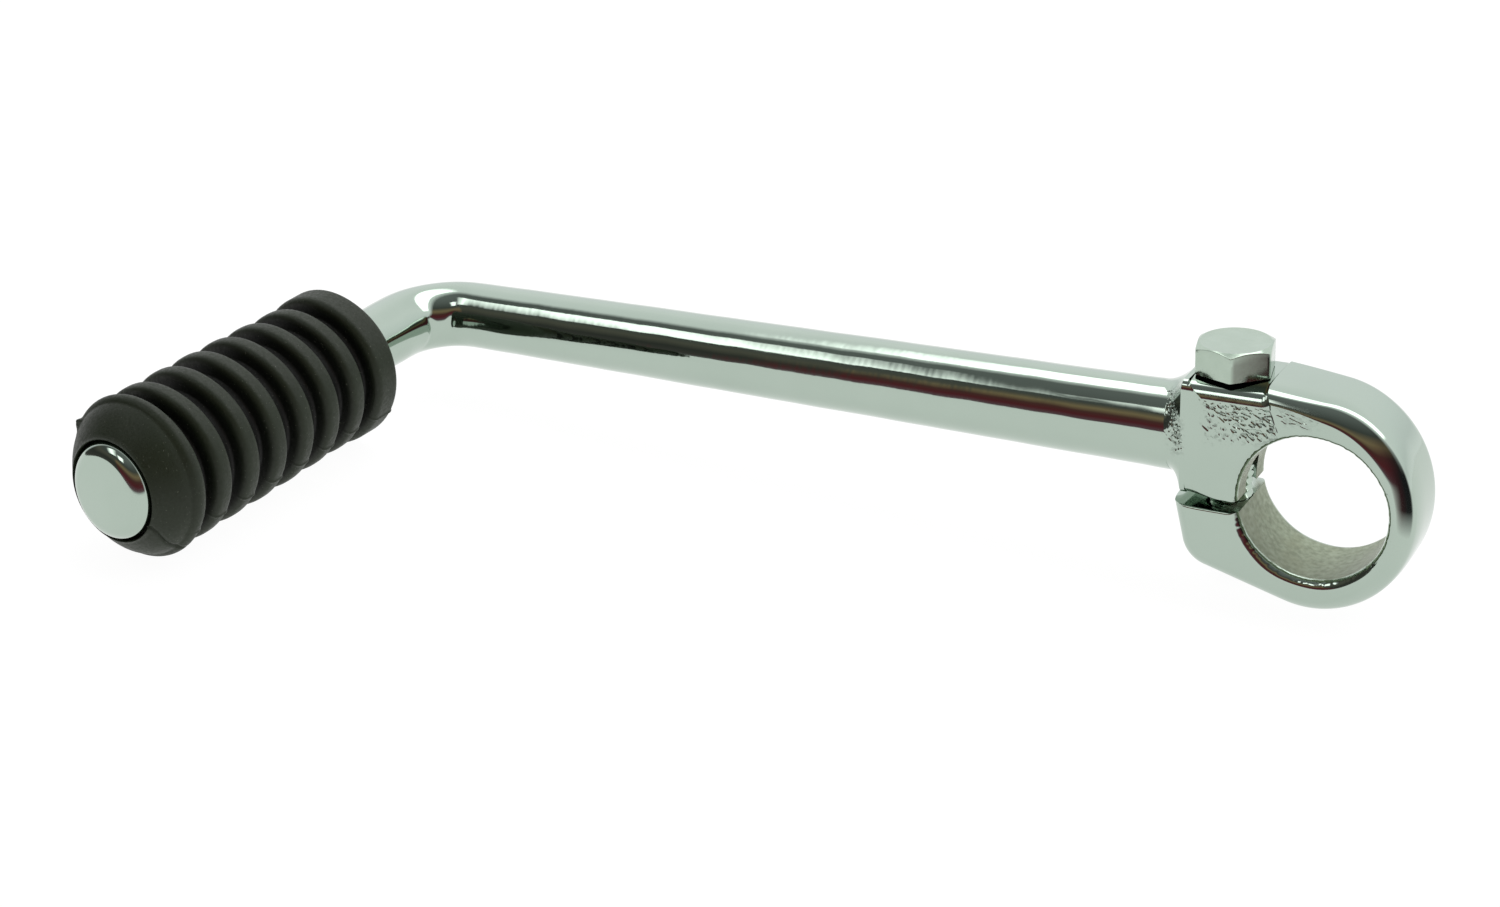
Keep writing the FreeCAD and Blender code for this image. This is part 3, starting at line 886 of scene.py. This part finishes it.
def head_rows(angle, top, seat):
    """Radii and heights of the bolt's head, from the middle of its top down to the shank."""
    reach = hexagon_reach(angle)
    fall = math.tan(math.radians(HEAD_BEVEL_DEG))
    hex_low = seat + WASHER_HEIGHT
    edge_z = top - (reach - HEAD_TOP_R) * fall
    bevel_start = HEAD_TOP_R + 0.1
    rows = [(r, top - 0.06) for r in (0.02, 1.5, 3.0, 4.2)]
    rows += [(4.6, top - 0.02), (HEAD_TOP_R, top)]
    for share in (0.0, 0.5, 0.85):
        r = bevel_start + (reach - bevel_start) * share
        rows.append((r, top - (r - HEAD_TOP_R) * fall))
    rows += [(reach - 0.03, edge_z + 0.02), (reach, edge_z - 0.06)]
    rows += [(reach, edge_z + (hex_low + 0.06 - edge_z) * share) for share in (0.33, 0.66, 1.0)]
    rows += [(reach - 0.06, hex_low), (WASHER_R + 0.02, hex_low)]
    rows += [(WASHER_R, hex_low - 0.03), (WASHER_R, seat + 0.03), (WASHER_R - 0.04, seat)]
    return rows + [(CREST_R + 0.02, seat)]


def shank_rows(angle, seat):
    """Radii and heights of the shank: a rolled thread on one helix, with a run-out and a pointed tip."""
    rows = [(CREST_R, seat - 0.02), (CREST_R, seat - 0.9 * PITCH)]
    tip = seat - BOLT_LENGTH
    for z in np.arange(seat - PITCH, tip + PITCH / 2, -PITCH / 12):
        phase = np.mod(z / PITCH - angle / (2 * math.pi), 1)
        crest = np.clip(0.5 + 2.2 * (np.abs(phase - 0.5) - 0.25), 0, 1)
        run_out = np.clip((seat - PITCH - z) / PITCH, 0, 1)
        point = np.clip((z - tip) / PITCH, 0, 1)
        r = CREST_R - (CREST_R - ROOT_R) * (1 - crest) * run_out
        rows.append((np.minimum(r, ROOT_R + (CREST_R - ROOT_R) * point), z))
    return rows + [(ROOT_R - 0.1, tip), (0.02, tip)]


def pinch_bolt():
    """The hex bolt: a turned top, a washer face and a rolled thread on one helix."""
    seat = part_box("weld_collar")[1][2] / MM
    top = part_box("pinch_bolt")[1][2] / MM
    angle = np.linspace(0, 2 * math.pi, 144, endpoint=False)
    rows = head_rows(angle, top, seat) + shank_rows(angle, seat)
    rings = [
        np.stack([BOLT_X + r * np.cos(angle), r * np.sin(angle), z + 0 * angle], -1)
        for r, z in rows
    ]
    piece = ring_piece("hex_bolt", rings, 28)
    height = coordinates(piece)[:, 2]
    # Painted shade: marks the washer face and the gap under the head, which the material paints near black
    gap = (height < seat + WASHER_HEIGHT + 0.02) & (height > seat - 0.5)
    paint(piece, "painted_gap_shade", gap)
    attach(piece, "bolt")
    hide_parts("pinch_bolt")
    piece.data.materials.append(zinc())
    return piece


# ---------------------------------------------------------------- materials

class Nodes:
    """A short way to build a shader.

    Each method adds one node and returns its output, but add returns the node itself, and fill sets or
    joins one of its inputs.
    """

    def __init__(self, tree):
        self.tree = tree

    def add(self, kind, inputs=None, **settings):
        node = self.tree.nodes.new(kind)
        for key, value in settings.items():
            setattr(node, key, value)
        for key, value in (inputs or {}).items():
            self.fill(node, key, value)
        return node

    def fill(self, node, key, value):
        if isinstance(value, bpy.types.NodeSocket):
            self.tree.links.new(value, node.inputs[key])
        else:
            node.inputs[key].default_value = value

    def math(self, operation, *values, clamp=False):
        inputs = dict(enumerate(values))
        return self.add("ShaderNodeMath", inputs, operation=operation, use_clamp=clamp).outputs[0]

    def noise(self, scale, detail=3.0, stretch=(1, 1, 1), roughness=0.5):
        place = self.add("ShaderNodeTexCoord").outputs["Object"]
        place = self.add("ShaderNodeMapping", {"Vector": place, "Scale": stretch}).outputs[0]
        inputs = {"Vector": place, "Scale": scale, "Detail": detail, "Roughness": roughness}
        return self.add("ShaderNodeTexNoise", inputs).outputs["Fac"]

    def range(self, value, low, high, to_low, to_high):
        inputs = {0: value, 1: low, 2: high, 3: to_low, 4: to_high}
        return self.add("ShaderNodeMapRange", inputs).outputs[0]

    def mix(self, share, first, second):
        node = self.tree.nodes.new("ShaderNodeMix")
        node.data_type = "RGBA"
        for index, value in ((0, share), (6, first), (7, second)):
            self.fill(node, index, value)
        return node.outputs[2]

    def bump(self, height, strength, distance):
        inputs = {"Height": height, "Strength": strength, "Distance": distance}
        return self.add("ShaderNodeBump", inputs).outputs[0]

    def attribute(self, name):
        return self.add("ShaderNodeAttribute", attribute_name=name).outputs["Fac"]


def empty_material(name):
    """A material without any nodes, and a way to add them."""
    material = bpy.data.materials.new(name)
    material.use_nodes = True
    material.node_tree.nodes.clear()
    return material, Nodes(material.node_tree)


def new_material(name):
    """A material with a Principled shader, its nodes and that shader."""
    material, nodes = empty_material(name)
    shader = nodes.add("ShaderNodeBsdfPrincipled")
    nodes.add("ShaderNodeOutputMaterial", {"Surface": shader.outputs[0]})
    return material, nodes, shader


def bare_metal(nodes):
    """The unplated bore: grainy grey metal with brownish stains, and its grit."""
    grit = nodes.noise(1300, 4)
    stain = nodes.noise(330, 4)
    metal = nodes.mix(nodes.range(grit, 0.35, 0.7, 0, 1), BARE_DARK, BARE_LIGHT)
    return nodes.mix(nodes.range(stain, 0.5, 0.75, 0, 0.45), metal, BARE_STAIN), grit


def chrome(name, patch=None, raw=None):
    """Hand-polished chrome plate; patch is rough and pitted, raw is the unplated bore."""
    material, nodes, shader = new_material(name)
    cloud = nodes.noise(90, 4)
    streak = nodes.noise(160, 3, (0.25, 1, 1))
    colour = nodes.mix(cloud, CHROME_DIM, CHROME_BRIGHT)
    rough = nodes.range(streak, 0.3, 0.75, 0.04, 0.12)
    height = nodes.math("MULTIPLY", streak, 0.4)
    if patch:
        mask = nodes.attribute(patch)
        speck = nodes.noise(2300, 2, (0.6, 1, 1))
        dirt = nodes.math("MULTIPLY", mask, nodes.range(speck, 0.46, 0.60, 0.0, 1.0))
        colour = nodes.mix(nodes.math("MULTIPLY", dirt, 0.6), colour, PIT_DIRT)
        rough = nodes.math("ADD", rough, nodes.math("MULTIPLY", mask, 0.12))
    if raw:
        bare = nodes.attribute(raw)
        metal, grit = bare_metal(nodes)
        colour = nodes.mix(bare, colour, metal)
        rough = nodes.math("ADD", rough, nodes.math("MULTIPLY", bare, 0.36))
        height = nodes.math("ADD", height, nodes.math("MULTIPLY", nodes.math("MULTIPLY", grit, bare), 1.2))
        shine = nodes.math("SUBTRACT", 1.0, nodes.math("MULTIPLY", bare, 0.6))
        nodes.fill(shader, "Metallic", shine)
    else:
        shader.inputs["Metallic"].default_value = 1.0
    nodes.fill(shader, "Base Color", colour)
    nodes.fill(shader, "Roughness", rough)
    nodes.fill(shader, "Normal", nodes.bump(height, 0.12, 0.0002))
    return material


def zinc():
    """Satin zinc plate on the bolt, with faint blotches, and painted shade that makes the gap round the
    washer face near black.
    """
    material, nodes, shader = new_material("zinc_plate")
    cloud = nodes.noise(420, 4)
    fine = nodes.noise(1600, 3)
    gap = nodes.attribute("painted_gap_shade")
    rough = nodes.range(fine, 0.3, 0.7, 0.12, 0.19)
    # Painted shade in the gap under the head, mixed over the zinc's colour
    nodes.fill(shader, "Base Color", nodes.mix(gap, nodes.mix(cloud, ZINC_DIM, ZINC_BRIGHT), GAP_SHADE))
    nodes.fill(shader, "Roughness", nodes.math("ADD", rough, nodes.math("MULTIPLY", gap, 0.5)))
    nodes.fill(shader, "Normal", nodes.bump(fine, 0.06, 0.00005))
    shader.inputs["Metallic"].default_value = 1.0
    return material


def rubber():
    """Matt moulded rubber, dusty olive grey, with painted shade that makes the grooves near black."""
    material, nodes, shader = new_material("moulded_rubber")
    cloud = nodes.noise(230, 5)
    fine = nodes.noise(2400, 4)
    dust = nodes.noise(3300, 1)
    colour = nodes.mix(cloud, RUBBER_DIM, RUBBER_BRIGHT)
    # Painted shade in the grooves between the ribs
    colour = nodes.mix(nodes.attribute("groove"), colour, GROOVE_SHADE)
    colour = nodes.mix(nodes.range(dust, 0.71, 0.77, 0.0, 0.3), colour, DUST)
    nodes.fill(shader, "Base Color", colour)
    nodes.fill(shader, "Roughness", nodes.range(fine, 0.3, 0.7, 0.42, 0.62))
    nodes.fill(shader, "Normal", nodes.bump(fine, 0.25, 0.00012))
    shader.inputs["Specular IOR Level"].default_value = 0.30
    return material


# ---------------------------------------------------------------- studio

def card_material(name):
    """An empty material, and the card's own coordinates from 0 to 1."""
    material, nodes = empty_material(name)
    place = nodes.add("ShaderNodeTexCoord").outputs["Generated"]
    across, along, _ = nodes.add("ShaderNodeSeparateXYZ", {0: place}).outputs
    return material, nodes, across, along


def glow_where(nodes, share, colour, radiance):
    """Glows where share is 1, and lets light through where it is 0."""
    light = nodes.add("ShaderNodeEmission", {"Color": colour, "Strength": radiance}).outputs[0]
    clear = nodes.add("ShaderNodeBsdfTransparent").outputs[0]
    both = nodes.add("ShaderNodeMixShader", {0: share, 1: clear, 2: light}).outputs[0]
    nodes.add("ShaderNodeOutputMaterial", {"Surface": both})


def lamp_material(name, soft, radiance):
    """A soft box whose two ends fade out over this share of its length."""
    material, nodes, across, _ = card_material(name)
    ends = nodes.range(across, 0.0, soft, 0, 1), nodes.range(across, 1.0, 1.0 - soft, 0, 1)
    glow_where(nodes, nodes.math("MULTIPLY", *ends), WHITE, radiance)
    return material


def flag_material():
    """A dark board, red towards the front, whose edges fade out."""
    material, nodes, down, back = card_material("dark_board")
    upright = nodes.range(down, 0.0, 0.55, 0, 1), nodes.range(down, 1.0, 0.80, 0, 1)
    level = nodes.range(back, 1.0, 0.93, 0, 1), nodes.range(back, 0.24, 0.66, 0, 1)
    share = nodes.math("MULTIPLY", nodes.math("MULTIPLY", *upright), nodes.math("MULTIPLY", *level))
    colour = nodes.mix(nodes.range(back, 0.45, 0.80, 0, 1), FLAG_RED, FLAG_BLACK)
    glow_where(nodes, share, colour, 1.0)
    return material


def floor_material():
    """A pale backlit sheet that still takes a faint shadow."""
    material, nodes = empty_material("pale_floor")
    glow = nodes.add("ShaderNodeEmission", {"Color": WHITE, "Strength": FLOOR_GLOW}).outputs[0]
    matt = nodes.add("ShaderNodeBsdfDiffuse", {"Color": FLOOR_COLOUR}).outputs[0]
    both = nodes.add("ShaderNodeAddShader", {0: glow, 1: matt}).outputs[0]
    nodes.add("ShaderNodeOutputMaterial", {"Surface": both})
    return material


def flat_card(name, width, depth):
    """A horizontal rectangle about the origin."""
    mesh = bpy.data.meshes.new(name)
    x, y = width / 2, depth / 2
    mesh.from_pydata([(-x, -y, 0), (x, -y, 0), (x, y, 0), (-x, y, 0)], [], [(0, 1, 2, 3)])
    card = bpy.data.objects.new(name, mesh)
    bpy.context.scene.collection.objects.link(card)
    return card


def floor():
    """The pale floor under the eye, tilted to rise towards the grip."""
    card = flat_card("floor", FLOOR_SIDE, FLOOR_SIDE)
    card.location = (0, 0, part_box("clamp_head")[0][2])
    card.rotation_euler = (0, math.radians(FLOOR_TILT_DEG), 0)
    card.data.materials.append(floor_material())


def lamps():
    """Overhead soft boxes, which the polished metal mirrors as bright stripes and spots."""
    for name, (x_low, x_high, y_low, y_high, soft, radiance) in LAMPS.items():
        card = flat_card(name, x_high - x_low, y_high - y_low)
        card.location = ((x_low + x_high) / 2, (y_low + y_high) / 2, LAMP_HEIGHT)
        card.visible_camera = False
        card.data.materials.append(lamp_material(name, soft, radiance))


def black_flag():
    """A low dark board at the eye's right, which only the polished metal mirrors."""
    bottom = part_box("clamp_head")[0][2]
    card = flat_card("black_flag", FLAG_TOP_Z - bottom, -FLAG_FRONT_Y)
    card.location = (FLAG_X, FLAG_FRONT_Y / 2, (FLAG_TOP_Z + bottom) / 2)
    card.rotation_euler = (0, math.radians(90), 0)
    for ray in ("camera", "diffuse", "shadow", "transmission"):
        setattr(card, "visible_" + ray, False)
    card.data.materials.append(flag_material())


def ramp(nodes, value, stops):
    """A colour ramp through (position, colour) stops."""
    node = nodes.add("ShaderNodeValToRGB", {0: value})
    elements = node.color_ramp.elements
    for position, colour in stops[1:-1]:
        elements.new(position)
    for element, (position, colour) in zip(elements, stops):
        element.position = position
        element.color = colour + (1,)
    return node.outputs[0]


def room_colour(nodes):
    """The room by direction: bright behind; in front dark to the left and red to the right."""
    direction = nodes.add("ShaderNodeTexCoord").outputs["Generated"]
    x, y, z = nodes.add("ShaderNodeSeparateXYZ", {0: direction}).outputs
    height = nodes.range(z, -1, 1, 0, 1)
    rightward = nodes.math("SUBTRACT", x, nodes.math("MULTIPLY", y, 0.53))
    red_share = nodes.range(rightward, -0.05, 0.03, 0.0, 1.0)
    backward = nodes.math("ADD", y, nodes.math("MULTIPLY", x, 0.10))
    front_share = nodes.range(backward, 0.12, -0.06, 0.0, 1.0)
    front = nodes.mix(red_share, ramp(nodes, height, ROOM_DARK), ramp(nodes, height, ROOM_RED))
    return nodes.mix(front_share, ramp(nodes, height, ROOM_BACK), front)


def world():
    """White to the camera, and the room to everything else."""
    scene_world = bpy.data.worlds.new("studio")
    bpy.context.scene.world = scene_world
    scene_world.use_nodes = True
    scene_world.node_tree.nodes.clear()
    nodes = Nodes(scene_world.node_tree)
    seen = nodes.add("ShaderNodeBackground", {"Color": WHITE, "Strength": 1.0}).outputs[0]
    room = {"Color": room_colour(nodes), "Strength": 1.0}
    lit = nodes.add("ShaderNodeBackground", room).outputs[0]
    camera_ray = nodes.add("ShaderNodeLightPath").outputs["Is Camera Ray"]
    both = nodes.add("ShaderNodeMixShader", {0: camera_ray, 1: lit, 2: seen}).outputs[0]
    nodes.add("ShaderNodeOutputWorld", {"Surface": both})


def camera():
    """Looks down on the lever from its front right, turned a little clockwise."""
    data = bpy.data.cameras.new("camera")
    data.lens = CAMERA_LENS
    data.clip_start = 0.01
    view = bpy.data.objects.new("camera", data)
    turn = Matrix.Rotation(math.radians(CAMERA_AZIMUTH_DEG), 4, "Z")
    turn = turn @ Matrix.Rotation(math.radians(90 - CAMERA_ELEVATION_DEG), 4, "X")
    turn = turn @ Matrix.Rotation(math.radians(CAMERA_ROLL_DEG), 4, "Z")
    view.matrix_world = Matrix.Translation(CAMERA_PLACE) @ turn
    bpy.context.scene.collection.objects.link(view)
    bpy.context.scene.camera = view


bpy.context.scene.view_settings.view_transform = "Standard"
camera()
world()
floor()
lamps()
black_flag()
clamp_head()
arm_rod()
weld_collar()
peg_end_disc()
grip_rubber()
pinch_bolt()
